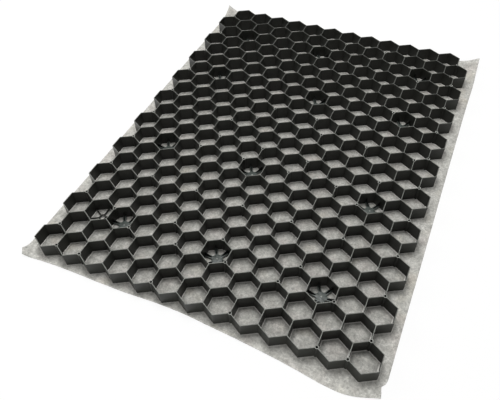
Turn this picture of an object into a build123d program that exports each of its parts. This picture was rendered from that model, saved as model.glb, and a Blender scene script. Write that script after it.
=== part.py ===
from build123d import *
import math
import os

# Gravel grid: a moulded plastic honeycomb welded on a sheet of geotextile.
# X runs along the short side, Y along the long side, and Z is up.
# While it is drawn, the near left corner of the honeycomb is at X = 0 and Y = 0.

# Driving dimensions of the honeycomb, in millimetres
PITCH = 50.0
ROWS = 20
CELLS_IN_WIDE_ROW = 13
GRID_HEIGHT = 30.0
WALL_AT_TOP = 1.4
WALL_AT_BASE = 1.9
ROWS_PER_NODE = 5

# Hollow posts at the junctions of the walls
POST_DIAMETER = 7.0
POST_BORE = 4.4
POST_FLOOR = 4.0
POST_SIDES = 6

# Star webs, the moulding gates of the grid, and the one ring web
WEB_LIFT = 3.0
WEB_THICKNESS = 2.0
ARM_WIDTH = 7.0
LOBE_RADIUS = 4.0
LOBE_SIDES = 3
RIB_WIDTH = 1.8
RIB_RISE = 9.0
GATE_MARK_RADIUS = 1.6
GATE_MARK_HEIGHT = 0.8
RING_RADIUS = 7.0
RING_BORE_RADIUS = 4.8
RING_SIDES = 12
SPOKE_WIDTH = 1.8
RING_DEPTH = 3.5

# Geotextile under the grid: how far it reaches past the honeycomb
SHEET_THICKNESS = 1.5
SIDE_MARGIN = 20.0
FAR_MARGIN = 20.0
# The near edge is cut unevenly: share of the width, and the margin there
NEAR_EDGE = ((0.0, 16.0), (0.28, 7.0), (0.47, 3.0), (0.65, 13.0), (0.86, 27.0), (0.93, 25.0), (0.994, 12.0))
NEAR_SIDES = 24
# The near right corner is cut in behind its tip, and the side starts there with a round
NOTCH_INSET = 9.0
NOTCH_PLACE = 10.0
NOTCH_ROUND = 14.0
NOTCH_SIDES = 4

# Cells that hold a star web, by row and column from the near left corner
STAR_CELLS = {2: (2, 6, 10), 7: (1, 5, 10), 13: (1, 6, 10), 17: (1, 5, 10)}
RING_CELL = (2, 1)

# Cells with a post at the named corner, by row and column
POST_CELLS = {
    "SE": {0: (0, 1, 4, 7, 10, 11)},
    "N": {1: (2, 4, 6, 8, 10), 2: (4, 6, 9), 4: (2, 4, 6, 8, 10), 6: (10,), 9: (3,)},
    "S": {3: (1,), 8: (3, 5, 7, 9), 9: (3, 5, 7, 10), 11: (4, 7, 9, 11), 12: (5, 7),
          14: (10,), 17: (10,), 19: (6, 8)},
}

CORNERS = ("N", "NW", "SW", "S", "SE", "NE")
CORNER_RADIUS = PITCH / math.sqrt(3)
ROW_STEP = PITCH * math.sqrt(3) / 2
GRID_WIDTH = CELLS_IN_WIDE_ROW * PITCH
GRID_LENGTH = (ROWS - 1) * ROW_STEP + 2 * CORNER_RADIUS
GRID_BASE = SHEET_THICKNESS
GRID_TOP = GRID_BASE + GRID_HEIGHT


def polar(radius, angle):
    return (radius * math.cos(math.radians(angle)), radius * math.sin(math.radians(angle)))


def corner_angle(index):
    """Direction of a cell's corner: the first points along +Y, and the rest follow to its left."""
    return 90 + 60 * index


def columns(row):
    """Columns of a row: every second row is one cell shorter."""
    return range(CELLS_IN_WIDE_ROW - row % 2)


def centre(row, column):
    """Plan position of a cell's centre."""
    return ((column + 0.5 + 0.5 * (row % 2)) * PITCH, row * ROW_STEP + CORNER_RADIUS)


def cells(rows):
    """Centres of all the cells in some rows that the grid has."""
    return [centre(row, column) for row in rows if 0 <= row < ROWS for column in columns(row)]


def has_cell(row, column):
    return 0 <= row < ROWS and column in columns(row)


def hexagon(half_width):
    """Hexagon with corners towards +Y and -Y, measured across its flats."""
    return RegularPolygon(half_width, 6, major_radius=False, rotation=30)


def corners(half_width, height):
    """Corners of a level hexagon, measured across its flats."""
    radius = half_width / math.cos(math.radians(30))
    return [(*polar(radius, corner_angle(i)), height) for i in range(6)]


def pocket():
    """Room inside one cell: wider at the top, because the walls are drafted."""
    low = corners((PITCH - WALL_AT_BASE) / 2, GRID_BASE)
    high = corners((PITCH - WALL_AT_TOP) / 2, GRID_TOP)
    loops = [low, high] + [(low[i - 1], low[i], high[i], high[i - 1]) for i in range(6)]
    return Solid(Shell([make_face(Polyline(*loop, close=True)).face() for loop in loops]))


def block(rows):
    """Solid block over some rows, out to the outer face of their walls."""
    outer = hexagon((PITCH + WALL_AT_BASE) / 2)
    outline = Sketch() + [Pos(x, y) * outer for x, y in cells(rows)]
    return extrude(Pos(0, 0, GRID_BASE) * outline, GRID_HEIGHT)


def post_places():
    """Plan position of each post, under the lowest row of cells that its junction touches."""
    places = {}
    for corner, by_row in POST_CELLS.items():
        for row, chosen in by_row.items():
            for column in chosen:
                add_post(places, row, column, corner)
    # The long sides have a post in each notch between two wide rows
    for row in range(0, ROWS, 2):
        add_post(places, row, 0, "N")
        add_post(places, row, CELLS_IN_WIDE_ROW - 1, "N")
    return places


def add_post(places, row, column, corner):
    if not has_cell(row, column):
        return
    x, y = centre(row, column)
    dx, dy = polar(CORNER_RADIUS, corner_angle(CORNERS.index(corner)))
    owner = max(row - 1, 0) if corner == "S" else row
    places.setdefault(owner, []).append((x + dx, y + dy))


def post_prism(diameter, height):
    """Upright prism with few sides, whose flats face the walls that meet at a post."""
    return extrude(RegularPolygon(diameter / 2, POST_SIDES, major_radius=False), height)


def post_stock(places):
    """Full prisms where the posts stand."""
    prism = post_prism(POST_DIAMETER, GRID_HEIGHT)
    return [Pos(x, y, GRID_BASE) * prism for x, y in places]


def post_bores(places):
    """Blind bores of the posts, open at the top."""
    bore = post_prism(POST_BORE, GRID_HEIGHT - POST_FLOOR)
    return [Pos(x, y, GRID_BASE + POST_FLOOR) * bore for x, y in places]


def star_plan(reach):
    """Six parallel-sided arms, with a rounded hollow of few sides between each two."""
    points = []
    for angle in range(0, 360, 60):
        x, y = polar(reach, angle)
        dx, dy = polar(ARM_WIDTH / 2, angle + 90)
        points += [(x - dx, y - dy), (x + dx, y + dy)]
        # The hollow's arc touches the edges of both arms and turns through 120 degrees
        middle = polar(ARM_WIDTH + 2 * LOBE_RADIUS, angle + 30)
        for step in range(LOBE_SIDES + 1):
            u, v = polar(LOBE_RADIUS, angle + 270 - 120 * step / LOBE_SIDES)
            points.append((middle[0] + u, middle[1] + v))
    return make_face(Polyline(*points, close=True))


def star_web():
    """Low plate with six arms to the middles of the walls, a rib on each arm and a gate mark."""
    reach = PITCH / 2
    rib_start = ARM_WIDTH + LOBE_RADIUS
    bottom = GRID_BASE + WEB_LIFT
    top = bottom + WEB_THICKNESS
    plate = extrude(Pos(0, 0, bottom) * star_plan(reach), WEB_THICKNESS)
    side = make_face(Polyline(
        (rib_start, bottom), (reach, bottom), (reach, top + RIB_RISE), (rib_start, top),
        close=True,
    ))
    rib = extrude(Plane.XZ * side, RIB_WIDTH / 2, both=True)
    mark = Pos(0, 0, top) * post_prism(2 * GATE_MARK_RADIUS, GATE_MARK_HEIGHT)
    return [plate, mark] + [Rot(0, 0, angle) * rib for angle in range(0, 360, 60)]


def ring_web():
    """Small ring on six thin spokes to the corners of its cell."""
    spoke_length = CORNER_RADIUS - (RING_RADIUS + RING_BORE_RADIUS) / 2
    spoke = Pos(CORNER_RADIUS - spoke_length / 2, 0) * Rectangle(spoke_length, SPOKE_WIDTH)
    spokes = [Rot(0, 0, corner_angle(i)) * spoke for i in range(6)]
    rim = RegularPolygon(RING_RADIUS, RING_SIDES) - RegularPolygon(RING_BORE_RADIUS, RING_SIDES)
    plan = rim + spokes
    return [extrude(Pos(0, 0, GRID_BASE + WEB_LIFT) * plan, RING_DEPTH)]


def webs(rows):
    """Star webs and the ring web of some rows."""
    found = []
    for row, chosen in STAR_CELLS.items():
        if row in rows:
            star = star_web()
            found += [Pos(*centre(row, c)) * piece for c in chosen if has_cell(row, c) for piece in star]
    if RING_CELL[0] in rows and has_cell(*RING_CELL):
        found += [Pos(*centre(*RING_CELL)) * piece for piece in ring_web()]
    return found


def honeycomb(first_row, last_row, places):
    """Rows of cells as one moulded solid, cut where the rows below them end."""
    rows = range(first_row, last_row + 1)
    room = pocket()
    solid = block(rows)
    if first_row:
        solid -= block([first_row - 1])
    near = range(first_row - 1, last_row + 2)
    solid -= [Pos(x, y) * room for x, y in cells(near)]
    own = [place for row in rows for place in places.get(row, [])]
    solid += post_stock(own) + webs(rows)
    # The posts on the seam belong to the rows below it
    return solid - (post_bores(own) + post_stock(places.get(first_row - 1, [])))


def geotextile():
    """Flat sheet with straight sides and an uneven near edge."""
    left = -SIDE_MARGIN
    right = GRID_WIDTH + SIDE_MARGIN
    far = GRID_LENGTH + FAR_MARGIN
    curve = Spline(*[(left + share * (right - left), -margin) for share, margin in NEAR_EDGE])
    outline = [curve @ (step / NEAR_SIDES) for step in range(NEAR_SIDES + 1)]
    for step in range(NOTCH_SIDES + 1):
        across, along = polar(1, 90 * step / NOTCH_SIDES)
        outline.append((right - NOTCH_INSET * (1 - along), NOTCH_PLACE + NOTCH_ROUND * (1 - across)))
    outline += [(right, far), (left, far)]
    return extrude(make_face(Polyline(*outline, close=True)), SHEET_THICKNESS)


def write_parts():
    os.makedirs("parts", exist_ok=True)
    places = post_places()
    sheet = geotextile()
    box = sheet.bounding_box()
    home = Pos(-(box.min.X + box.max.X) / 2, -(box.min.Y + box.max.Y) / 2, 0)
    export_step(home * sheet, "parts/geotextile.step")
    for first in range(0, ROWS, ROWS_PER_NODE):
        last = min(first + ROWS_PER_NODE, ROWS) - 1
        name = f"honeycomb_rows_{first + 1:02d}_to_{last + 1:02d}"
        export_step(home * honeycomb(first, last, places), f"parts/{name}.step")


write_parts()
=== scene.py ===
import logging
import math
from dataclasses import dataclass
from enum import Enum
from typing import ClassVar

import bmesh
import bpy
import numpy as np
from bpy.types import Material, NodeSocket, NodeTree, Object
from mathutils import Matrix, Vector


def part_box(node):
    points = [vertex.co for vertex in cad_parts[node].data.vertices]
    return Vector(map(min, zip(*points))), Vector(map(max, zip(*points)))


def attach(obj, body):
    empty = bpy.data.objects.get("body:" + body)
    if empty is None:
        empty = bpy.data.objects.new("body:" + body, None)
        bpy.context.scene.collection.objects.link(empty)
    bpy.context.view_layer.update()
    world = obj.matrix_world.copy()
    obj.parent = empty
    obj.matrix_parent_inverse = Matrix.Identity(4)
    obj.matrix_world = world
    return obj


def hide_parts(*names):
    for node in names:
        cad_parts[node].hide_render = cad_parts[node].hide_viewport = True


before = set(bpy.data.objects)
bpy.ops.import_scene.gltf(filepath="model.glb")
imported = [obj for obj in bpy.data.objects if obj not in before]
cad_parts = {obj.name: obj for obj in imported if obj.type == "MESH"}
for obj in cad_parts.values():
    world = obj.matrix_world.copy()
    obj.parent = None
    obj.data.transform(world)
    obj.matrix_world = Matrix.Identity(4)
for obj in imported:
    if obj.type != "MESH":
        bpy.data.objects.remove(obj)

logging.basicConfig(level=logging.INFO, format="%(message)s")
log = logging.getLogger("gravel_grid")

MM = 0.001
# Mesh points closer together than this become one
MERGE_GAP = 0.01 * MM
BODY = "root"
HONEYCOMB_NODES = ("honeycomb_rows_01_to_05", "honeycomb_rows_06_to_10",
                   "honeycomb_rows_11_to_15", "honeycomb_rows_16_to_20")

Array = np.ndarray
Pair = tuple[float, float]
Place = tuple[float, float, float]
Cells = dict[int, tuple[int, ...]]


def linear(hex_colour: str) -> tuple[float, float, float, float]:
    """Turns an sRGB colour written as #rrggbb into the linear colour that a shader takes.

    Args:
        hex_colour: the colour as it looks on a screen.

    Returns:
        Linear red, green and blue, and full opacity.
    """
    levels = np.array([int(hex_colour[i:i + 2], 16) for i in (1, 3, 5)]) / 255
    r, g, b = np.where(levels <= 0.04045, levels / 12.92, ((levels + 0.055) / 1.055) ** 2.4)
    return float(r), float(g), float(b), 1.0


def add_node(tree: NodeTree, kind: str, links: dict | list | tuple = (), output: int | str = 0,
             **settings) -> NodeSocket | None:
    """Adds a node, with its settings and its links.

    Args:
        tree: the material's or world's node tree.
        kind: the node's type, without the word ShaderNode.
        links: the sockets or plain values that feed its inputs, in order, or by name or number.
        output: name or number of the output wanted.
        settings: the node's own attributes, such as operation.

    Returns:
        The output's socket, or None where the node has no output.
    """
    node = tree.nodes.new("ShaderNode" + kind)
    for name, value in settings.items():
        setattr(node, name, value)
    for name, source in links.items() if isinstance(links, dict) else enumerate(links):
        if isinstance(source, NodeSocket):
            tree.links.new(source, node.inputs[name])
        else:
            node.inputs[name].default_value = source
    return node.outputs[output] if node.outputs else None


def new_material(name: str) -> tuple[Material, NodeTree, NodeSocket]:
    """Starts a node material.

    Args:
        name: the material's name.

    Returns:
        The material, its node tree and its Object coordinates.
    """
    material = bpy.data.materials.new(name)
    material.use_nodes = True
    tree = material.node_tree
    tree.nodes.clear()
    return material, tree, add_node(tree, "TexCoord", output="Object")


def rotated(vectors: Array, angle: Array | float) -> Array:
    """Turns plan vectors anticlockwise: the usual plane rotation.

    Args:
        vectors: the vectors as [..., 2].
        angle: the angle in radians, one for all vectors or one for each.

    Returns:
        The turned vectors.
    """
    c, s = np.cos(angle), np.sin(angle)
    x, y = vectors[..., 0], vectors[..., 1]
    return np.stack([c * x - s * y, s * x + c * y], axis=-1)


def turned(points: Array, degrees: float) -> Array:
    """Turns a grid of points about the Z axis, anticlockwise from above."""
    plan = rotated(points[..., :2], math.radians(degrees))
    return np.concatenate([plan, points[..., 2:]], axis=-1)


def smooth_step(value: Array) -> Array:
    """Rises from 0 to 1 as the value does, level at both ends: 3t squared less 2t cubed."""
    t = np.clip(value, 0, 1)
    return t * t * (3 - 2 * t)


def fair_curve(at: Array, measured: tuple[Pair, ...]) -> Array:
    """Smooth curve through measured points.

    Each stretch is a Hermite cubic, whose slopes are those of the points on both sides.

    Args:
        at: the shares wanted.
        measured: a rising share and a value for each point.

    Returns:
        The curve's values.
    """
    share, value = np.array(measured).T
    slope = np.gradient(value, share)
    at = np.clip(at, share[0], share[-1])
    k = np.clip(np.searchsorted(share, at, side="right") - 1, 0, len(share) - 2)
    width = share[k + 1] - share[k]
    t = (at - share[k]) / width
    return (
        (1 + 2 * t) * (1 - t) ** 2 * value[k] + t * (1 - t) ** 2 * width * slope[k]
        + t * t * (3 - 2 * t) * value[k + 1] + t * t * (t - 1) * width * slope[k + 1]
    )


def carried_round(radius: Array, height: Array, angle: Array) -> Array:
    """Carries a profile round the Z axis: x = r cos a, y = r sin a, z = h.

    Args:
        radius: the radii r, which broadcast against the angles.
        height: the heights h, which broadcast against both.
        angle: the directions a in radians.

    Returns:
        The points, with a last axis of 3.
    """
    x, y = radius * np.cos(angle), radius * np.sin(angle)
    return np.stack([x, y, np.broadcast_to(height, x.shape)], axis=-1)


def repeated_at(points: Array, places: Array) -> Array:
    """Copies a grid of points to each plan place, as [places, rows, around, 3]."""
    return points + np.pad(places, ((0, 0), (0, 1)))[:, None, None]


def capped(rings: Array) -> Array:
    """Closes a tube's ends: the first and the last ring each get a ring drawn in to its middle.

    Args:
        rings: the tube's points as [rings, around, 3].

    Returns:
        The points, with two more rings.
    """
    middles = np.broadcast_to(rings.mean(axis=1, keepdims=True), rings.shape)
    return np.concatenate([middles[:1], rings, middles[-1:]])


def quads(points: Array, first: int, closed: bool) -> Array:
    """Quads between rows of points: seen from outside, the next row is on the left of a row's walk.

    Args:
        points: a grid of points, or copies of it, as [..., rows, around, 3].
        first: the number of its first point.
        closed: whether each row is a closed ring.

    Returns:
        The point numbers of each quad.
    """
    number = first + np.arange(points.size // 3).reshape(-1, *points.shape[-3:-1])
    if closed:
        number = np.concatenate([number, number[..., :1]], axis=-1)
    corners = (number[:, :-1, :-1], number[:, :-1, 1:], number[:, 1:, 1:], number[:, 1:, :-1])
    return np.stack(corners, axis=-1).reshape(-1, 4)


def new_piece(name: str, shapes: list[Array], closed: bool = True, sharp_degrees: float = 40) -> Object:
    """Makes one mesh object of several shapes: doubles merged, smooth, and sharp past an angle.

    Args:
        name: the piece's name.
        shapes: grids of points as [rows, around, 3] or [copies, rows, around, 3], in metres.
        closed: whether the shapes are closed and their rows rings, or else open sheets.
        sharp_degrees: an edge that turns by more than this stays crisp.

    Returns:
        The object, at the origin.
    """
    faces, count = [], 0
    for points in shapes:
        faces.append(quads(points, count, closed))
        count += points.size // 3
    places = np.concatenate([points.reshape(-1, 3) for points in shapes])
    mesh = bpy.data.meshes.new(name)
    mesh.from_pydata(places, [], np.concatenate(faces))
    obj = bpy.data.objects.new(name, mesh)
    bpy.context.collection.objects.link(obj)
    work = bmesh.new()
    work.from_mesh(mesh)
    bmesh.ops.remove_doubles(work, verts=work.verts, dist=MERGE_GAP)
    bmesh.ops.dissolve_degenerate(work, edges=work.edges, dist=MERGE_GAP)
    if closed:
        bmesh.ops.recalc_face_normals(work, faces=work.faces)
    work.to_mesh(mesh)
    work.free()
    mesh.shade_smooth()
    mesh.set_sharp_from_angle(angle=math.radians(sharp_degrees))
    return obj


class Corner(Enum):
    """A cell's corners, anticlockwise from the one that points along +Y."""

    N = 0
    NW = 1
    SW = 2
    S = 3
    SE = 4
    NE = 5


@dataclass(frozen=True)
class Lattice:
    """Plan of the honeycomb: rows of cells, alternately full and one cell shorter."""

    near_left: Pair
    pitch: float = 50 * MM
    rows: int = 20
    wide_row: int = 13

    @property
    def corner_radius(self) -> float:
        """From a cell's centre to its corner."""
        return self.pitch / math.sqrt(3)

    @property
    def row_step(self) -> float:
        """From a row's centre line to the next."""
        return self.pitch * math.sqrt(3) / 2

    @property
    def width(self) -> float:
        """Between the centre lines of the outer walls of the long sides."""
        return self.wide_row * self.pitch

    @property
    def length(self) -> float:
        """Between the outer corners of the first and the last row."""
        return (self.rows - 1) * self.row_step + 2 * self.corner_radius

    def centres(self, row: Array, column: Array) -> Array:
        """Plan places of cells' centres, in metres, by row and column number."""
        x = self.near_left[0] + (column + 0.5 + 0.5 * (row % 2)) * self.pitch
        return np.stack([x, self.near_left[1] + row * self.row_step + self.corner_radius], axis=-1)

    def all_centres(self) -> Array:
        """Plan places of all the cells' centres, row by row."""
        every = {row: tuple(range(self.wide_row - row % 2)) for row in range(self.rows)}
        return self.chosen_centres(every)

    def chosen_centres(self, cells: Cells) -> Array:
        """Plan places of chosen cells' centres, given as row to columns."""
        numbers = np.array([(row, column) for row, columns in cells.items() for column in columns])
        return self.centres(*numbers.T)

    def corners(self, centres: Array) -> Array:
        """The six corners of each cell, anticlockwise, as [cells, 6, 2]."""
        angle = np.radians(90 + 60 * np.arange(6))
        return centres[:, None] + self.corner_radius * np.stack([np.cos(angle), np.sin(angle)], axis=-1)

    def chosen_corners(self, cells: dict[Corner, Cells]) -> Array:
        """Plan places of chosen corners of cells.

        Args:
            cells: the cells, as corner to row to columns.

        Returns:
            The places as [corners, 2].
        """
        return np.concatenate([
            self.corners(self.chosen_centres(by_row))[:, corner.value] for corner, by_row in cells.items()
        ])

    def outline(self) -> Array:
        """Junctions of the outer walls, clockwise, so that the outside is on the left.

        Corners that agree to a micrometre are one junction. A wall belongs to the outline where no
        second cell walks it the other way.

        Returns:
            The junctions' plan places as [junctions, 2].
        """
        ring = self.corners(self.all_centres())
        places, index = np.unique(np.round(ring.reshape(-1, 2), 6), axis=0, return_inverse=True)
        start = index.reshape(-1, 6)
        walls = np.stack([start, np.roll(start, -1, axis=1)], axis=-1).reshape(-1, 2)
        both = set(map(tuple, walls[:, ::-1].tolist()))
        back = {b: a for a, b in walls.tolist() if (a, b) not in both}
        walk = [next(iter(back))]
        while back[walk[-1]] != walk[0]:
            walk.append(back[walk[-1]])
        return places[walk]


@dataclass(frozen=True)
class MouldedPlastic:
    """Recycled polyethylene, injection moulded: near black and dull.

    Reground plastic never mixes fully, so its black carries faint grey-green clouds. The lips of
    the walls are paler in patches: partly worn by rubbing as panels travel in a stack, and partly
    a painted highlight where light catches their rounded tops. The painted highlight also changes
    along the panel, and for the walls it is strongest at the near end.
    """

    name: str = "moulded_recycled_polyethylene"
    dark: str = "#1a1b18"
    cloud: str = "#232420"
    # Lips' pale colour: partly wear, partly a painted highlight
    wear_and_highlight: str = "#868882"
    cloud_size: float = 35 * MM
    grain_size: float = 0.9 * MM
    grain_depth: float = 0.04 * MM
    roughness: Pair = (0.36, 0.5)
    specular: float = 0.3
    lip_height: float = 0.0
    lip_depth: float = 0.14 * MM
    wear_size: float = 6 * MM
    wear_patches: Pair = (0.55, 1.0)
    # Painted highlight: how the lips' pale share changes along the panel, from the near end to the far
    # end
    highlight_span: Pair = (-420 * MM, 420 * MM)
    highlight_share: Pair = (1.0, 0.45)

    def make(self) -> Material:
        """Builds the node material.

        Returns:
            The material, on Object coordinates.
        """
        material, tree, place = new_material(self.name)
        noise = {
            name: add_node(tree, "TexNoise", {
                "Vector": place, "Scale": 1 / size, "Detail": detail, "Roughness": rough,
            })
            for name, size, detail, rough in (
                ("cloud", self.cloud_size, 4.0, 0.6),
                ("wear", self.wear_size, 3.0, 0.5),
                ("grain", self.grain_size, 2.0, 0.5),
            )
        }
        axes = add_node(tree, "SeparateXYZ", (place,)).node.outputs
        lip = (self.lip_height - self.lip_depth, self.lip_height)
        share = {
            name: add_node(tree, "MapRange", ends, interpolation_type=kind)
            for name, kind, *ends in (
                ("lip", "SMOOTHSTEP", axes["Z"], *lip, 0.0, 1.0),
                ("along", "LINEAR", axes["Y"], *self.highlight_span, *self.highlight_share),
                ("patches", "LINEAR", noise["wear"], 0.3, 0.7, *self.wear_patches),
                ("rough", "LINEAR", noise["cloud"], 0.35, 0.65, *self.roughness),
            )
        }
        # Painted highlight, partly wear: the lips' pale share is the gradient along the panel, times
        # random patches, times the band at the lip's height
        wear_and_highlight_share = share["along"]
        for name in ("patches", "lip"):
            wear_and_highlight_share = add_node(tree, "Math", (wear_and_highlight_share, share[name]), operation="MULTIPLY")
        colour = linear(self.dark)
        for factor, tone in ((noise["cloud"], self.cloud), (wear_and_highlight_share, self.wear_and_highlight)):
            colour = add_node(tree, "Mix", {0: factor, 6: colour, 7: linear(tone)}, 2, data_type="RGBA")
        bump = add_node(tree, "Bump", {
            "Height": noise["grain"], "Distance": self.grain_depth, "Strength": 0.5,
        })
        shader = add_node(tree, "BsdfPrincipled", {
            "Base Color": colour, "Roughness": share["rough"], "Normal": bump,
            "IOR": 1.5, "Specular IOR Level": self.specular,
        })
        add_node(tree, "OutputMaterial", (shader,))
        return material


@dataclass(frozen=True)
class NeedledGeotextile:
    """Pale nonwoven, needled and heat set: matted short fibres with no thread direction.

    The fibres clump into a cloudy mottle, and offcuts of coloured fibre tint it faintly pink and
    yellow. Single fibres are finer than a pixel, so they are drawn as coarse as they need to show.
    Where the plastic was welded on, a thin pale line runs along each wall's foot: partly melted
    fibre, and partly painted light that lifts the shade at the foot. Beside it a band of painted
    shade darkens the fabric near the walls, most of all in the near rows. On the underside and in
    the margin the line shows faintly, and in the margin the painted shade is weaker too.
    """

    lattice: Lattice
    name: str = "needled_polypropylene_geotextile"
    base: str = "#c5c4be"
    shade: str = "#aeada7"
    warm: str = "#cac2ae"
    rose: str = "#c8bcb7"
    # Pale weld line: partly melted fibre, partly painted light against the shade at the walls' feet
    melted_fibre_and_painted_light: str = "#dfddd7"
    cloud_size: float = 13 * MM
    warm_size: float = 60 * MM
    rose_size: float = 45 * MM
    clump_size: float = 4.0 * MM
    fibre_size: float = 1.8 * MM
    fibre_depth: float = 0.3 * MM
    weld: Pair = (2.2 * MM, 3.4 * MM)
    weld_share: float = 0.95
    # Painted shade beside the walls: how far it reaches from the wall's centre line, and how much it
    # darkens
    painted_shade_reach: Pair = (4 * MM, 15 * MM)
    painted_shade_depth: float = 0.24
    # Painted shade is strongest in the near rows and fades towards the middle of the panel
    near_rows: Pair = (-350 * MM, 0.0)
    far_share: float = 0.3
    upper_side: Pair = (0.4 * MM, 1.1 * MM)
    under_share: float = 0.25
    cell_edge: Pair = (-1.0 * MM, -0.5 * MM)
    margin_share: float = 0.3
    mottle: Pair = (0.6, 1.32)

    def cell_depth(self, tree: NodeTree, place: NodeSocket) -> NodeSocket:
        """How far inside a cell a point lies in plan, from the nearest wall's centre line.

        The even rows' cells repeat on a rectangle of one pitch by two row steps, and so do the odd
        rows', from half a pitch and one step further on. The nearest cell of each set is found by
        rounding, and kept to the cells that exist. A hexagon's own measure of distance, the larger
        of x and x/2 + y root(3)/2, gives how far the point is from that cell's centre. Half a pitch
        less the smaller of the two is the depth.

        Args:
            tree: the material's node tree.
            place: the Object coordinates.

        Returns:
            The depth in metres, below zero outside the honeycomb.
        """
        grid = self.lattice
        step = (grid.pitch, 2 * grid.row_step, 1.0)
        reaches = []
        for odd in (0, 1):
            first = (grid.near_left[0] + (0.5 + 0.5 * odd) * grid.pitch,
                     grid.near_left[1] + grid.corner_radius + odd * grid.row_step, 0.0)
            last = (float(grid.wide_row - 1 - odd), float(grid.rows // 2 - 1), 0.0)
            made = {"place": place}
            for result, operation, a, b in (
                ("away", "SUBTRACT", "place", first),
                ("steps", "DIVIDE", "away", step),
                ("raised", "ADD", "steps", (0.5, 0.5, 0.0)),
                ("whole", "FLOOR", "raised", None),
                ("from first", "MAXIMUM", "whole", (0.0, 0.0, 0.0)),
                ("index", "MINIMUM", "from first", last),
                ("centre", "MULTIPLY", "index", step),
                ("past centre", "SUBTRACT", "away", "centre"),
                ("off", "ABSOLUTE", "past centre", None),
                ("flat side", "DOT_PRODUCT", "off", (1.0, 0.0, 0.0)),
                ("slant side", "DOT_PRODUCT", "off", (0.5, math.sqrt(3) / 2, 0.0)),
            ):
                links = (made[a],) if b is None else (made[a], made.get(b, b))
                output = "Value" if operation == "DOT_PRODUCT" else "Vector"
                made[result] = add_node(tree, "VectorMath", links, output, operation=operation)
            sides = (made["flat side"], made["slant side"])
            reaches.append(add_node(tree, "Math", sides, operation="MAXIMUM"))
        nearest = add_node(tree, "Math", reaches, operation="MINIMUM")
        return add_node(tree, "Math", (grid.pitch / 2, nearest), operation="SUBTRACT")

    def make(self) -> Material:
        """Builds the node material.

        Returns:
            The material, on Object coordinates.
        """
        material, tree, place = new_material(self.name)
        noise = {
            name: add_node(tree, "TexNoise", {
                "Vector": place, "Scale": 1 / size, "Detail": detail, "Roughness": rough,
                "Distortion": bent,
            })
            for name, size, detail, rough, bent in (
                ("cloud", self.cloud_size, 3.0, 0.5, 0.0),
                ("warm", self.warm_size, 2.0, 0.5, 0.0),
                ("rose", self.rose_size, 2.0, 0.5, 0.0),
                ("clump", self.clump_size, 4.0, 0.5, 0.6),
                ("fibre", self.fibre_size, 5.0, 0.65, 2.0),
            )
        }
        matted = add_node(tree, "Math", (noise["clump"], noise["fibre"]), operation="ADD")
        depth = self.cell_depth(tree, place)
        distance = add_node(tree, "Math", (depth,), operation="ABSOLUTE")
        axes = add_node(tree, "SeparateXYZ", (place,)).node.outputs
        share = {
            name: add_node(tree, "MapRange", ends)
            for name, *ends in (
                ("cloud", noise["cloud"], 0.35, 0.65, 0.0, 1.0),
                ("warm", noise["warm"], 0.58, 0.78, 0.0, 0.4),
                ("rose", noise["rose"], 0.5, 0.74, 0.0, 0.3),
                ("matted", matted, 0.72, 1.28, *self.mottle),
                ("painted_shade_reach", distance, *self.painted_shade_reach, self.painted_shade_depth, 0.0),
                ("weld", distance, *self.weld, self.weld_share, 0.0),
                ("upper side", axes["Z"], *self.upper_side, self.under_share, 1.0),
                ("in a cell", depth, *self.cell_edge, self.margin_share, 1.0),
                ("near rows", axes["Y"], *self.near_rows, 1.0, self.far_share),
            )
        }
        product = {}
        # The dark product is painted shade: a band beside the walls, strongest in the near rows and
        # weaker outside the cells
        for name, first, *others in (
            ("pale_line_melt_and_light", "weld", "upper side", "in a cell"), ("dark", "painted_shade_reach", "near rows", "in a cell"),
        ):
            product[name] = share[first]
            for other in others:
                factors = (product[name], share[other])
                product[name] = add_node(tree, "Math", factors, operation="MULTIPLY")
        light = add_node(tree, "Math", (1.0, product["dark"]), operation="SUBTRACT")
        brightness = add_node(tree, "Math", (share["matted"], light), operation="MULTIPLY")
        lit = {
            tone: add_node(tree, "VectorMath", {
                0: linear(tone)[:3], "Scale": brightness,
            }, operation="SCALE")
            for tone in (self.shade, self.base, self.warm, self.rose)
        }
        colour = lit[self.shade]
        # The pale weld line goes on last: partly melted fibre, partly painted light at the walls' feet
        for factor, tint in (
            (share["cloud"], lit[self.base]), (share["warm"], lit[self.warm]),
            (share["rose"], lit[self.rose]), (product["pale_line_melt_and_light"], linear(self.melted_fibre_and_painted_light)),
        ):
            colour = add_node(tree, "Mix", {0: factor, 6: colour, 7: tint}, 2, data_type="RGBA")
        bump = add_node(tree, "Bump", {"Height": matted, "Distance": self.fibre_depth, "Strength": 0.6})
        rough = add_node(tree, "MapRange", {"Value": product["pale_line_melt_and_light"], "To Min": 0.95, "To Max": 0.6})
        shader = add_node(tree, "BsdfPrincipled", {
            "Base Color": colour, "Roughness": rough, "Normal": bump,
            "Sheen Weight": 0.15, "Sheen Roughness": 0.5, "Specular IOR Level": 0.2,
        })
        add_node(tree, "OutputMaterial", (shader,))
        return material


class Slot(Enum):
    """Slot names for the two finishes, black plastic and geotextile; nothing in this script reads them.
    """

    PLASTIC = "black_plastic"
    FABRIC = "geotextile"


@dataclass
class SubAssembly:
    """A sub-assembly on the honeycomb's plan, which builds its mesh and dresses it."""

    slot: ClassVar[Slot] = Slot.PLASTIC
    nodes: ClassVar[tuple[str, ...]] = ()

    lattice: Lattice
    material: Material

    def build(self) -> Object:
        """Makes the bare mesh object, which each kind does in its own way."""
        raise NotImplementedError

    def dress(self) -> Object:
        """Builds the piece, gives it its material and its body, and hides the CAD nodes that it takes the
        place of.

        Returns:
            The finished piece, in place of the CAD nodes that its class names.
        """
        obj = self.build()
        obj.data.materials.append(self.material)
        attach(obj, BODY)
        if self.nodes:
            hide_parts(*self.nodes)
        log.info("%s: %d faces", obj.name, len(obj.data.polygons))
        return obj


@dataclass(frozen=True)
class Profile:
    """Section of half a wall: offsets from its centre line, heights and radii, ring by ring."""

    offset: Array
    height: Array
    inner_round: Array
    post_radius: Array


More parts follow.
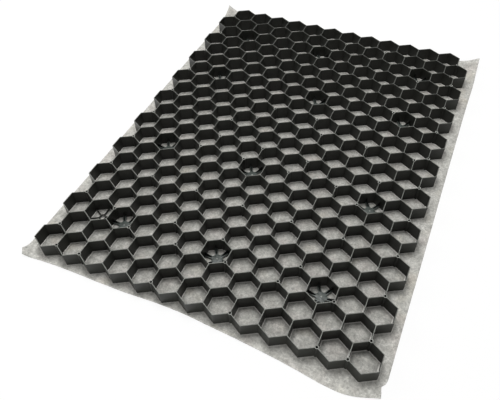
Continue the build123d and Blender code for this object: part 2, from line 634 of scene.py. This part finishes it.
@dataclass
class HoneycombWalls(SubAssembly):
    """The honeycomb's walls with their hollow posts, as one closed moulding."""

    nodes: ClassVar[tuple[str, ...]] = HONEYCOMB_NODES

    post_material: Material
    foot: float
    top: float
    posts: Array
    wall_at_top: float = 1.4 * MM
    wall_at_foot: float = 1.9 * MM
    lip_round: float = 0.3 * MM
    flat_below: float = 0.66 * MM
    corner_fillet: float = 1.2 * MM
    outer_bend: float = 0.8
    post_diameter: float = 7.0 * MM
    bore_diameter: float = 4.4 * MM
    bore_floor: float = 4 * MM
    rim_reach: float = 0.2 * MM
    post_match: float = 1 * MM
    corner_points: int = 5

    def profile(self) -> Profile:
        """Half a wall's section, from its lip's middle over the round and down to its foot.

        Just under the round, one more ring keeps the wall's flat face flat to the light.

        Returns:
            The section, with the radii that its rings have at a junction and round a post.
        """
        turn = np.radians([0, 30, 60, 90, 90])
        round_off = self.lip_round * (1 - np.sin(turn))
        lip = self.wall_at_top / 2 - round_off
        drop = self.top - np.array([*(self.lip_round * (1 - np.cos(turn[:4]))), self.flat_below])
        post = self.post_diameter / 2
        return Profile(
            offset=np.array([0, *lip, self.wall_at_foot / 2, 0]),
            height=np.array([self.top, *drop, self.foot, self.foot]),
            inner_round=np.array([0, *(self.corner_fillet * lip / lip[-1]), self.corner_fillet, 0]),
            post_radius=np.array([self.bore_diameter / 2, *(post - round_off), post, 0]),
        )

    def skin(self, corners: Array, has_post: Array) -> Array:
        """Wall skins on the left of closed walks along wall centre lines.

        At a plain junction each ring turns on an arc that touches both offset lines. At a post it
        follows a circle round the junction, from one offset line to the other.

        Args:
            corners: the walks' junctions as [walks, junctions, 2].
            has_post: whether each junction carries a post, as [walks, junctions].

        Returns:
            The points as [walks, rings, around, 3].
        """
        p = self.profile()
        out = np.roll(corners, -1, axis=1) - corners
        out /= np.linalg.norm(out, axis=-1, keepdims=True)
        come = np.roll(out, 1, axis=1)
        cross = come[..., 0] * out[..., 1] - come[..., 1] * out[..., 0]
        turn = np.arctan2(cross, (come * out).sum(-1))[:, None, :, None]
        come, out = come[:, None, :, None], out[:, None, :, None]
        step = np.linspace(0, 1, self.corner_points)
        sections = (p.offset, p.inner_round, p.post_radius)
        offset, fillet, radius = (values[None, :, None, None] for values in sections)

        side = np.sign(turn)
        bend = np.where(side > 0, fillet, offset * self.outer_bend)
        left_come, left_out = rotated(come, np.pi / 2), rotated(out, np.pi / 2)
        mitre = (left_come + left_out) / (1 + np.cos(turn))[..., None]
        normal = rotated(come, np.pi / 2 + step * turn)
        plain = mitre * (offset + side * bend)[..., None] - (side * bend)[..., None] * normal

        lean = np.arcsin(np.clip(offset / np.maximum(radius, 1e-9), 0, 1))
        sweep = (np.pi - lean) + step * (turn + lean - (np.pi - lean))
        post = radius[..., None] * rotated(come, sweep)

        plan = corners[:, None, :, None] + np.where(has_post[:, None, :, None, None], post, plain)
        plan = plan.reshape(*plan.shape[:2], -1, 2)
        height = np.broadcast_to(p.height[None, :, None, None], (*plan.shape[:3], 1))
        return np.concatenate([plan, height], axis=-1)

    def posts_at(self, corners: Array) -> Array:
        """Whether a post stands at each of these junctions."""
        gap = np.linalg.norm(corners[..., None, :] - self.posts, axis=-1)
        return gap.min(axis=-1) < self.post_match

    def bores(self) -> Array:
        """Blind bores of the posts: the floor's middle, a circle round it and one at the lip.

        The three skins that meet at a post share that last circle.

        Returns:
            The points as [posts, rings, around, 3].
        """
        around = 3 * (self.corner_points - 1)
        angle = np.pi / 2 - 2 * np.pi * np.arange(around) / around
        radius = self.bore_diameter / 2 * np.array([0, 1, 1])
        floor = self.foot + self.bore_floor
        height = np.array([floor, floor, self.top])
        return repeated_at(carried_round(radius[:, None], height[:, None], angle), self.posts)

    def build(self) -> Object:
        """Makes the moulding: every cell's skin, the outer skin and the bores, merged.

        Returns:
            The walls, in place of the four CAD nodes of the honeycomb.
        """
        walks = (self.lattice.corners(self.lattice.all_centres()), self.lattice.outline()[None])
        skins = [self.skin(corners, self.posts_at(corners)) for corners in walks]
        return new_piece("honeycomb_walls", [*skins, self.bores()])

    def dress(self) -> Object:
        """Dresses the walls, and gives the posts' rims and bores their own plastic, with painted shade in
        the bores and a painted highlight, partly wear, on the rims.

        Returns:
            The finished walls.
        """
        obj = super().dress()
        obj.data.materials.append(self.post_material)
        middles = np.empty(3 * len(obj.data.polygons))
        obj.data.polygons.foreach_get("center", middles)
        plan = middles.reshape(-1, 3)[:, :2]
        rim = (self.post_diameter + self.bore_diameter) / 4 + self.rim_reach
        chosen = np.zeros(len(plan), dtype=np.int32)
        for post in self.posts:
            chosen[np.hypot(*(plan - post).T) < rim] = 1
        obj.data.polygons.foreach_set("material_index", chosen)
        return obj


@dataclass
class StarWebs(SubAssembly):
    """Low plates with six arms and a gate mark: where the plastic was fed in."""

    foot: float
    cells: Cells
    lift: float = 3 * MM
    thickness: float = 2 * MM
    arm_width: float = 6.3 * MM
    lobe_radius: float = 3.6 * MM
    mark_radius: float = 1.6 * MM
    mark_height: float = 0.8 * MM
    mark_sunk: float = 0.02 * MM
    mark_around: int = 20
    edge_round: float = 0.5 * MM
    around: int = 144

    @property
    def bottom(self) -> float:
        """The plates' underside."""
        return self.foot + self.lift

    @property
    def top(self) -> float:
        """The plates' upper side."""
        return self.foot + self.lift + self.thickness

    def reach(self, angle: Array) -> Array:
        """Distance of the plate's edge from the hub's centre, by direction.

        Near an arm's axis it is the wall, then the arm's straight edge, and between two arms the arc
        that touches both.

        Args:
            angle: the directions in radians.

        Returns:
            The distances.
        """
        off = np.abs((angle + np.pi / 6) % (np.pi / 3) - np.pi / 6)
        half, middle = self.arm_width / 2, self.arm_width + 2 * self.lobe_radius
        wall = (self.lattice.pitch / 2) / np.cos(off)
        edge = half / np.maximum(np.sin(off), 1e-6)
        across = middle * np.sin(np.pi / 6 - off)
        lobe = middle * np.cos(np.pi / 6 - off) - np.sqrt(np.maximum(self.lobe_radius**2 - across**2, 0))
        touch = math.atan2(half, middle * math.cos(math.pi / 6))
        return np.where(off > touch, lobe, np.minimum(wall, edge))

    def plate(self) -> Array:
        """The plate as rings from the top's middle, over a rounded edge, to the underside's middle.

        Returns:
            The points as [rings, around, 3].
        """
        turn = np.radians([0, 45, 90])
        inset = self.edge_round * (1 - np.sin(turn))
        drop = self.edge_round * (1 - np.cos(turn))
        inset = np.array([0, *inset, *inset[::-1], 0])[:, None]
        height = np.array([self.top, *(self.top - drop), *(self.bottom + drop[::-1]), self.bottom])
        share = np.array([0, *np.ones(6), 0])[:, None]
        angle = -2 * np.pi * np.arange(self.around) / self.around
        return carried_round(share * (self.reach(angle) - inset), height[:, None], angle)

    def mark(self) -> Array:
        """The gate mark: a low stub with a rounded rim and a dimple where it was twisted off.

        Returns:
            The points as [rings, around, 3].
        """
        radius = self.mark_radius * np.array([0, 1.25, 1.0, 0.9, 0.7, 0.3, 0.0])[:, None]
        rise = self.mark_height * np.array([0, 0, 0.2, 0.9, 1.0, 0.7, 0.65])[:, None]
        angle = 2 * np.pi * np.arange(self.mark_around) / self.mark_around
        return carried_round(radius, self.top - self.mark_sunk + rise, angle)

    def build(self) -> Object:
        """Makes all the webs as one piece.

        Returns:
            The webs, joined.
        """
        centres = self.lattice.chosen_centres(self.cells)
        shapes = (self.plate(), self.mark())
        return new_piece("star_webs", [repeated_at(points, centres) for points in shapes])


@dataclass
class WebRibs(SubAssembly):
    """The upright ribs on the stars' arms, which stiffen them and climb the walls."""

    webs: StarWebs
    width: float = 1.8 * MM
    rise: float = 9 * MM
    edge_round: float = 0.35 * MM
    stations: int = 5

    def rib(self) -> Array:
        """The rib along +X: a rounded section that grows from the hub to the wall.

        Returns:
            The points as [sections, around, 3].
        """
        start = self.webs.arm_width + self.webs.lobe_radius
        along = np.linspace(start, self.lattice.pitch / 2, self.stations)[:, None]
        base = self.webs.bottom + 0.5 * self.webs.thickness
        crest = self.webs.top + self.rise * (along - start) / (along[-1] - start)
        across = np.array([-1, -1, -0.6, 0.6, 1, 1]) * self.width / 2
        up = np.array([0, 1, 1, 1, 1, 0])
        soften = self.edge_round * np.array([0, 1, 0, 0, 1, 0])
        height = base + up * (crest - base) - soften
        return capped(np.stack(np.broadcast_arrays(along, across, height), axis=-1))

    def build(self) -> Object:
        """Makes the six ribs of every web as one piece.

        Returns:
            The ribs, joined.
        """
        centres = self.lattice.chosen_centres(self.webs.cells)
        ribs = [turned(self.rib(), 60 * arm) for arm in range(6)]
        return new_piece("web_ribs", [repeated_at(points, centres) for points in ribs])


@dataclass
class RingWeb(SubAssembly):
    """A small ring on six thin spokes to the corners of its cell."""

    foot: float
    cells: Cells
    radius: float = 7 * MM
    bore_radius: float = 4.8 * MM
    spoke_width: float = 1.8 * MM
    lift: float = 3 * MM
    depth: float = 3.5 * MM
    edge_round: float = 0.4 * MM
    around: int = 48

    def section(self, low: float, high: float) -> tuple[Array, Array]:
        """A rounded rectangle across the ring or a spoke, anticlockwise.

        Args:
            low: the lowest offset.
            high: the highest one.

        Returns:
            Offsets and heights of its points.
        """
        r = self.edge_round
        bottom, top = self.foot + self.lift, self.foot + self.lift + self.depth
        across = np.array([low + r, high - r, high, high, high - r, low + r, low, low])
        up = np.array([bottom, bottom, bottom + r, top - r, top, top, top - r, bottom + r])
        return across, up

    def build(self) -> Object:
        """Makes the ring and its spokes as one piece.

        Returns:
            The ring web.
        """
        centres = self.lattice.chosen_centres(self.cells)
        angle = 2 * np.pi * np.arange(self.around + 1)[:, None] / self.around
        ring = carried_round(*self.section(self.bore_radius, self.radius), angle)
        across, up = self.section(-self.spoke_width / 2, self.spoke_width / 2)
        along = np.array([[(self.radius + self.bore_radius) / 2], [self.lattice.corner_radius]])
        spoke = capped(np.stack(np.broadcast_arrays(along, -across, up), axis=-1))
        shapes = [ring, *(turned(spoke, 30 + 60 * arm) for arm in range(6))]
        return new_piece("ring_web", [repeated_at(points, centres) for points in shapes])


@dataclass(frozen=True)
class Curl:
    """A free corner of the sheet that turns up: its place, its lift and how far that reaches."""

    place: Pair
    lift: float
    reach: float


@dataclass
class GeotextileSheet(SubAssembly):
    """The nonwoven under the honeycomb: flat under the walls, and free to curl at its corners."""

    slot: ClassVar[Slot] = Slot.FABRIC
    nodes: ClassVar[tuple[str, ...]] = ("geotextile",)

    far: float
    side_margin: float = 20 * MM
    thickness: float = 1.5 * MM
    edge_zone: float = 36 * MM
    edge_step: float = 2.4 * MM
    step: float = 4.4 * MM
    # The near edge: share of the width, and the margin there in mm
    near_edge: tuple[Pair, ...] = (
        (0, 16), (0.07, 11.6), (0.16, 9.4), (0.25, 9.1), (0.33, 8), (0.41, 4.7), (0.49, 4), (0.57, 7.1),
        (0.65, 10.6), (0.73, 15.2), (0.8, 20.2), (0.87, 26.3), (0.93, 26.7), (0.948, 24.2),
        (0.965, 20.6), (0.983, 16.4), (1, 13),
    )
    # The right side: share of the length, and how far it lies outwards there in mm
    right_edge: tuple[Pair, ...] = (
        (0, -3.1), (0.07, -2.9), (0.3, -1.3), (0.6, 0.3), (0.8, 2.1), (0.93, 3.8), (1, 1),
    )
    tip_cut: Pair = (4 * MM, 10 * MM)
    tip_reach: float = 22 * MM
    notch_inset: float = 7 * MM
    notch_place: float = 8 * MM
    notch_round: float = 16 * MM
    wall_zone: float = 1 * MM
    cell_crown: float = 0.9 * MM
    crown_rise: float = 9 * MM
    edge_fade: float = 10 * MM
    loose: float = 0.9 * MM
    loose_reach: float = 14 * MM
    free_from: float = 9 * MM
    fray: float = 0.25 * MM
    fray_seed: int = 7

    @property
    def left(self) -> float:
        """The sheet's left side."""
        return self.lattice.near_left[0] - self.side_margin

    @property
    def right(self) -> float:
        """The sheet's right side."""
        return self.lattice.near_left[0] + self.lattice.width + self.side_margin

    def curls(self) -> tuple[Curl, ...]:
        """The corners that turn up.

        Returns:
            Near left, near right, far left and far right.
        """
        low = self.lattice.near_left[1]
        return (
            Curl((self.left, low - 6.5 * MM), 10 * MM, 24 * MM),
            Curl((self.right - 5 * MM, low - 12 * MM), 3 * MM, 40 * MM),
            Curl((self.left, self.far), 20 * MM, 52 * MM),
            Curl((self.right, self.far), 20 * MM, 60 * MM),
        )

    def near(self, x: Array) -> Array:
        """The near edge's places along, by places across: a curve through the measured margins."""
        share = (x - self.left) / (self.right - self.left)
        return self.lattice.near_left[1] - MM * fair_curve(share, self.near_edge)

    def left_side(self, y: Array) -> Array:
        """The left side's places across, by places along: its near tip is cut off slantwise."""
        down = (self.near(np.array(self.left)) + self.tip_cut[1] - y) / self.tip_cut[1]
        return self.left + self.tip_cut[0] * np.clip(down, 0, 1)

    def right_side(self, y: Array) -> Array:
        """The right side, a curve through the measured shifts.

        It is cut in behind the near corner with a quarter circle, and half as far at the tip.

        Args:
            y: places along.

        Returns:
            The side's places across.
        """
        low = self.lattice.near_left[1]
        shift = MM * fair_curve((y - low) / (self.far - low), self.right_edge)
        up = (y - low - self.notch_place) / self.notch_round
        inset = self.notch_inset * (1 - np.sqrt(1 - (1 - np.clip(up, 0, 1)) ** 2))
        tip = 0.5 * self.notch_inset * smooth_step(-up * self.notch_round / self.tip_reach)
        return self.right + shift - inset + tip

    def shares(self, length: float) -> Array:
        """Where the grid's lines lie along a side: closer together near its ends.

        Args:
            length: the side's length.

        Returns:
            The lines' places as shares of the length.
        """
        ends = round(self.edge_zone / self.edge_step)
        middle = round((length - 2 * self.edge_zone) / self.step)
        zone = self.edge_zone / length
        return np.concatenate([
            np.linspace(0, zone, ends + 1)[:-1], np.linspace(zone, 1 - zone, middle + 1)[:-1],
            np.linspace(1 - zone, 1, ends + 1),
        ])

    def plan(self) -> Array:
        """Grid of plan places between the near and the far edge and the two sides.

        The outermost points move a little inwards at random, as a blade leaves such a fibrous edge.

        Returns:
            The places as [rows, columns, 2].
        """
        width, length = self.right - self.left, self.far - self.lattice.near_left[1]
        v, u = np.meshgrid(self.shares(length), self.shares(width), indexing="ij")
        x = self.left + u * width
        near = self.near(x)
        y = near + v * (self.far - near)
        left, right = self.left_side(y), self.right_side(y)
        x = left + u * (right - left)
        rough = self.fray * np.random.default_rng(self.fray_seed).uniform(-1, 0, (2, *x.shape))
        side = np.where(u == 0, -1, np.where(u == 1, 1, 0))
        end = np.where(v == 0, -1, np.where(v == 1, 1, 0))
        return np.stack([x + side * rough[0], y + end * rough[1]], axis=-1)

    def wall_distance(self, plan: Array) -> Array:
        """Distance to the nearest wall's centre line, in the pattern without an end.

        That is half the pitch less the hexagonal distance to the nearest cell's centre.

        Args:
            plan: plan places as [..., 2].

        Returns:
            The distances.
        """
        p, s = self.lattice.pitch, self.lattice.row_step
        x = plan[..., 0] - self.lattice.near_left[0] - 0.5 * p
        y = plan[..., 1] - self.lattice.near_left[1] - self.lattice.corner_radius
        shift = np.array([0, 1]).reshape(2, *(1,) * x.ndim)
        dx, dy = x - 0.5 * p * shift, y - s * shift
        dx = np.abs(dx - p * np.round(dx / p))
        dy = np.abs(dy - 2 * s * np.round(dy / (2 * s)))
        return 0.5 * p - np.maximum(dx, 0.5 * dx + dy * math.sqrt(3) / 2).min(axis=0)

    def height(self, plan: Array) -> Array:
        """Height of the sheet's top.

        It is held flat under the walls and slightly crowned in the cells. Outside them it is
        loosely waved, by two crossed sines 103 and 134 mm long that slower ones bend, and curled up
        at its corners, by the square of how near a point is to a corner.

        Args:
            plan: plan places as [..., 2].

        Returns:
            The heights.
        """
        x, y = plan[..., 0], plan[..., 1]
        low = self.lattice.near_left
        inside = np.min([x - low[0], low[0] + self.lattice.width - x,
                         y - low[1], low[1] + self.lattice.length - y], axis=0)
        rise = smooth_step((self.wall_distance(plan) - self.wall_zone) / self.crown_rise)
        crown = self.cell_crown * rise * smooth_step(inside / self.edge_fade)
        out = np.clip(-inside, 0, None)
        wave = np.sin(x * 61 + 1.3 * np.sin(y * 23)) * np.sin(y * 47 + 2.1 * np.sin(x * 17))
        loose = self.loose * smooth_step(out / self.loose_reach) * (0.5 + 0.5 * wave)
        lift = np.zeros_like(x)
        for curl in self.curls():
            away = np.hypot(x - curl.place[0], y - curl.place[1]) / curl.reach
            lift += curl.lift * np.clip(1 - away, 0, 1) ** 2 * smooth_step(out / self.free_from)
        return self.thickness + crown + loose + lift

    def build(self) -> Object:
        """Makes the sheet as a grid with its thickness below it.

        Returns:
            The sheet.
        """
        plan = self.plan()
        top = np.concatenate([plan, self.height(plan)[..., None]], axis=-1)
        obj = new_piece("geotextile_sheet", [top], closed=False, sharp_degrees=80)
        solid = obj.modifiers.new("thickness", "SOLIDIFY")
        solid.thickness = self.thickness
        solid.offset = -1
        return obj

    def lay(self, flat: Pair, area: float) -> None:
        """Args:
            flat: width and length that it was cut to; not used.
            area: its area inside the uneven outline; not used.
        """
        self.dress()


@dataclass(frozen=True)
class Studio:
    """Plain floor, soft light, and the camera at the photograph's view.

    Places are in mm from the honeycomb's near left corner and the sheet's top.
    """

    near_left: Pair
    ground: float
    eye: Place = (613.6, -342.4, 804.8)
    aim: Place = (321.7, 271.5, 0.0)
    lit: Place = (325.0, 440.0, 0.0)
    roll_degrees: float = -2.07
    focal_pixels: float = 524.3
    image_width: int = 500
    sensor: float = 36.0
    clip: Pair = (0.01, 50)
    fill: float = 0.42
    floor_half: float = 8.0
    floor_white: float = 0.85
    shadow_reach: Pair = (0.7, 1.8)

    def place(self, mm: Place) -> Vector:
        """Turns a place of the studio into one of the scene, in metres."""
        origin = Vector((*self.near_left, self.ground))
        return origin + Vector(mm) * MM

    def camera(self) -> None:
        """Stands the camera where the photograph was taken from."""
        data = bpy.data.cameras.new("camera")
        data.sensor_width = self.sensor
        data.lens = self.focal_pixels / self.image_width * self.sensor
        data.clip_start, data.clip_end = self.clip
        camera = bpy.data.objects.new("camera", data)
        bpy.context.collection.objects.link(camera)
        eye, aim = self.place(self.eye), self.place(self.aim)
        turn = (aim - eye).to_track_quat("-Z", "Y").to_matrix().to_4x4()
        roll = Matrix.Rotation(math.radians(self.roll_degrees), 4, "Z")
        camera.matrix_world = Matrix.Translation(eye) @ turn @ roll
        bpy.context.scene.camera = camera

    def lamp(self, name: str, mm: Place, size: float, power: float) -> None:
        """Hangs a square soft lamp that faces the panel's middle.

        Args:
            name: the lamp's name.
            mm: its place in the studio.
            size: its side in metres.
            power: its power in watts.
        """
        data = bpy.data.lights.new(name, "AREA")
        data.size = size
        data.energy = power
        lamp = bpy.data.objects.new(name, data)
        bpy.context.collection.objects.link(lamp)
        lamp.location = self.place(mm)
        lamp.rotation_euler = (self.place(self.lit) - self.place(mm)).to_track_quat("-Z", "Y").to_euler()

    def seen(self, tree: NodeTree) -> NodeSocket:
        """Share that is 1 for what the camera sees, straight, mirrored or through glass.

        Args:
            tree: the world's or the floor's node tree.

        Returns:
            The socket that carries the share.
        """
        path = add_node(tree, "LightPath").node.outputs
        share = path["Is Camera Ray"]
        for ray in ("Is Glossy Ray", "Is Transmission Ray"):
            share = add_node(tree, "Math", (share, path[ray]), operation="MAXIMUM")
        return share

    def world(self) -> None:
        """Fills softly from all round, and is white where the camera or a reflection sees it."""
        world = bpy.data.worlds.new("studio")
        bpy.context.scene.world = world
        world.use_nodes = True
        tree = world.node_tree
        tree.nodes.clear()
        fill = add_node(tree, "Background", (linear("#ffffff"), self.fill))
        white = add_node(tree, "Background", (linear("#ffffff"), 1.0))
        add_node(tree, "OutputWorld", (add_node(tree, "MixShader", (self.seen(tree), fill, white)),))

    def floor(self) -> Object:
        """A pale floor, almost white where it is seen, that keeps the panel's soft shadow.

        Returns:
            The floor, which isn't part of the object.
        """
        corners = np.array([[[-1, -1, 0], [1, -1, 0]], [[-1, 1, 0], [1, 1, 0]]])
        obj = new_piece("studio_floor", [self.floor_half * corners], closed=False)
        material, tree, place = new_material("matt_white_paint")
        away = add_node(tree, "VectorMath", (place,), "Value", operation="LENGTH")
        white = add_node(tree, "MapRange", (away, *self.shadow_reach, self.floor_white, 1.0))
        seen = add_node(tree, "Math", (self.seen(tree), white), operation="MULTIPLY")
        paint = add_node(tree, "BsdfDiffuse", (linear("#f4f4f3"),))
        glow = add_node(tree, "Emission", (linear("#ffffff"), 1.0))
        add_node(tree, "OutputMaterial", (add_node(tree, "MixShader", (seen, paint, glow)),))
        obj.data.materials.append(material)
        return obj

    def build(self) -> None:
        """Sets the camera, the lamps, the world and the floor."""
        self.camera()
        self.world()
        self.lamp("overhead_softbox", (50.0, 850.0, 2500.0), 1.2, 47)
        self.lamp("left_softbox", (-1700.0, 500.0, 1300.0), 1.0, 12)
        self.lamp("front_card", (1000.0, -1500.0, 260.0), 0.8, 12)
        self.floor()
        bpy.context.scene.view_settings.view_transform = "Standard"


# Area of the sheet inside its uneven outline, in square metres
CUT_AREA = 0.6302
# Cells that hold a web, by row and columns from the near left corner
STAR_CELLS = {2: (2, 6, 10), 7: (1, 5, 10), 13: (1, 6, 10), 17: (1, 5, 10)}
RING_CELLS = {2: (1,)}
# Cells with a post at the named corner: scattered ones, then those in the notches of the long sides
SCATTERED_POSTS = {
    Corner.SE: {0: (0, 1, 4, 7, 10, 11)},
    Corner.N: {1: (2, 4, 6, 8, 10), 2: (4, 6, 9), 4: (2, 4, 6, 8, 10), 6: (10,), 9: (3,)},
    Corner.S: {3: (1,), 8: (3, 5, 7, 9), 9: (3, 5, 7, 10), 11: (4, 7, 9, 11), 12: (5, 7), 14: (10,),
               17: (10,), 19: (6, 8)},
}
SIDE_POSTS = {Corner.N: {row: (0, 12) for row in range(0, 20, 2)}}


def main() -> None:
    """Builds the grid on its frame, dresses it and sets up the studio."""
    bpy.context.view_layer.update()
    wall = HoneycombWalls.wall_at_foot
    low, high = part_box(HONEYCOMB_NODES[0])
    sheet_low, sheet_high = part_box("geotextile")
    lattice = Lattice(near_left=(low[0] + wall / 2, low[1] + wall / math.sqrt(3)))
    posts = np.concatenate([lattice.chosen_corners(cells) for cells in (SCATTERED_POSTS, SIDE_POSTS)])

    plastic = MouldedPlastic(lip_height=high[2]).make()
    # Painted shade: the deep bores and the thin ribs are coloured near black. Painted highlight,
    # partly wear: the posts' rims are coloured palest, more so towards the far end.
    post_shade_and_highlight_plastic = MouldedPlastic(
        name="moulded_posts_and_ribs_painted_shade_and_highlight", dark="#070808", cloud="#0b0c0b", wear_and_highlight="#cccec7",
        highlight_share=(0.6, 0.9), specular=0.08, lip_height=high[2],
    ).make()
    # Painted light: the gate webs are coloured greyer than the walls, with paler swirls, for the
    # overhead light on their flat tops. Their bumps and lower roughness make them a little shinier and
    # more uneven. The gate mark's top is coloured pale: a painted highlight.
    gate_plastic = MouldedPlastic(
        name="moulded_gate_webs_flow_marks_and_painted_light", dark="#282d2a", cloud="#5a615d", wear_and_highlight="#b4b8b2",
        cloud_size=7 * MM, grain_size=5 * MM, grain_depth=0.5 * MM, roughness=(0.28, 0.46), specular=0.3,
        lip_height=low[2] + StarWebs.lift + StarWebs.thickness + StarWebs.mark_height, lip_depth=0.6 * MM,
    ).make()
    fabric = NeedledGeotextile(lattice).make()

    HoneycombWalls(lattice, plastic, post_shade_and_highlight_plastic, foot=low[2], top=high[2], posts=posts).dress()
    webs = StarWebs(lattice, gate_plastic, foot=low[2], cells=STAR_CELLS)
    webs.dress()
    # The ribs take the near-black plastic too: painted shade
    WebRibs(lattice, post_shade_and_highlight_plastic, webs).dress()
    RingWeb(lattice, plastic, foot=low[2], cells=RING_CELLS).dress()
    flat = (sheet_high[0] - sheet_low[0], sheet_high[1] - sheet_low[1])
    GeotextileSheet(lattice, fabric, far=sheet_high[1]).lay(flat, CUT_AREA)

    Studio(near_left=lattice.near_left, ground=low[2]).build()


if __name__ == "__main__":
    main()
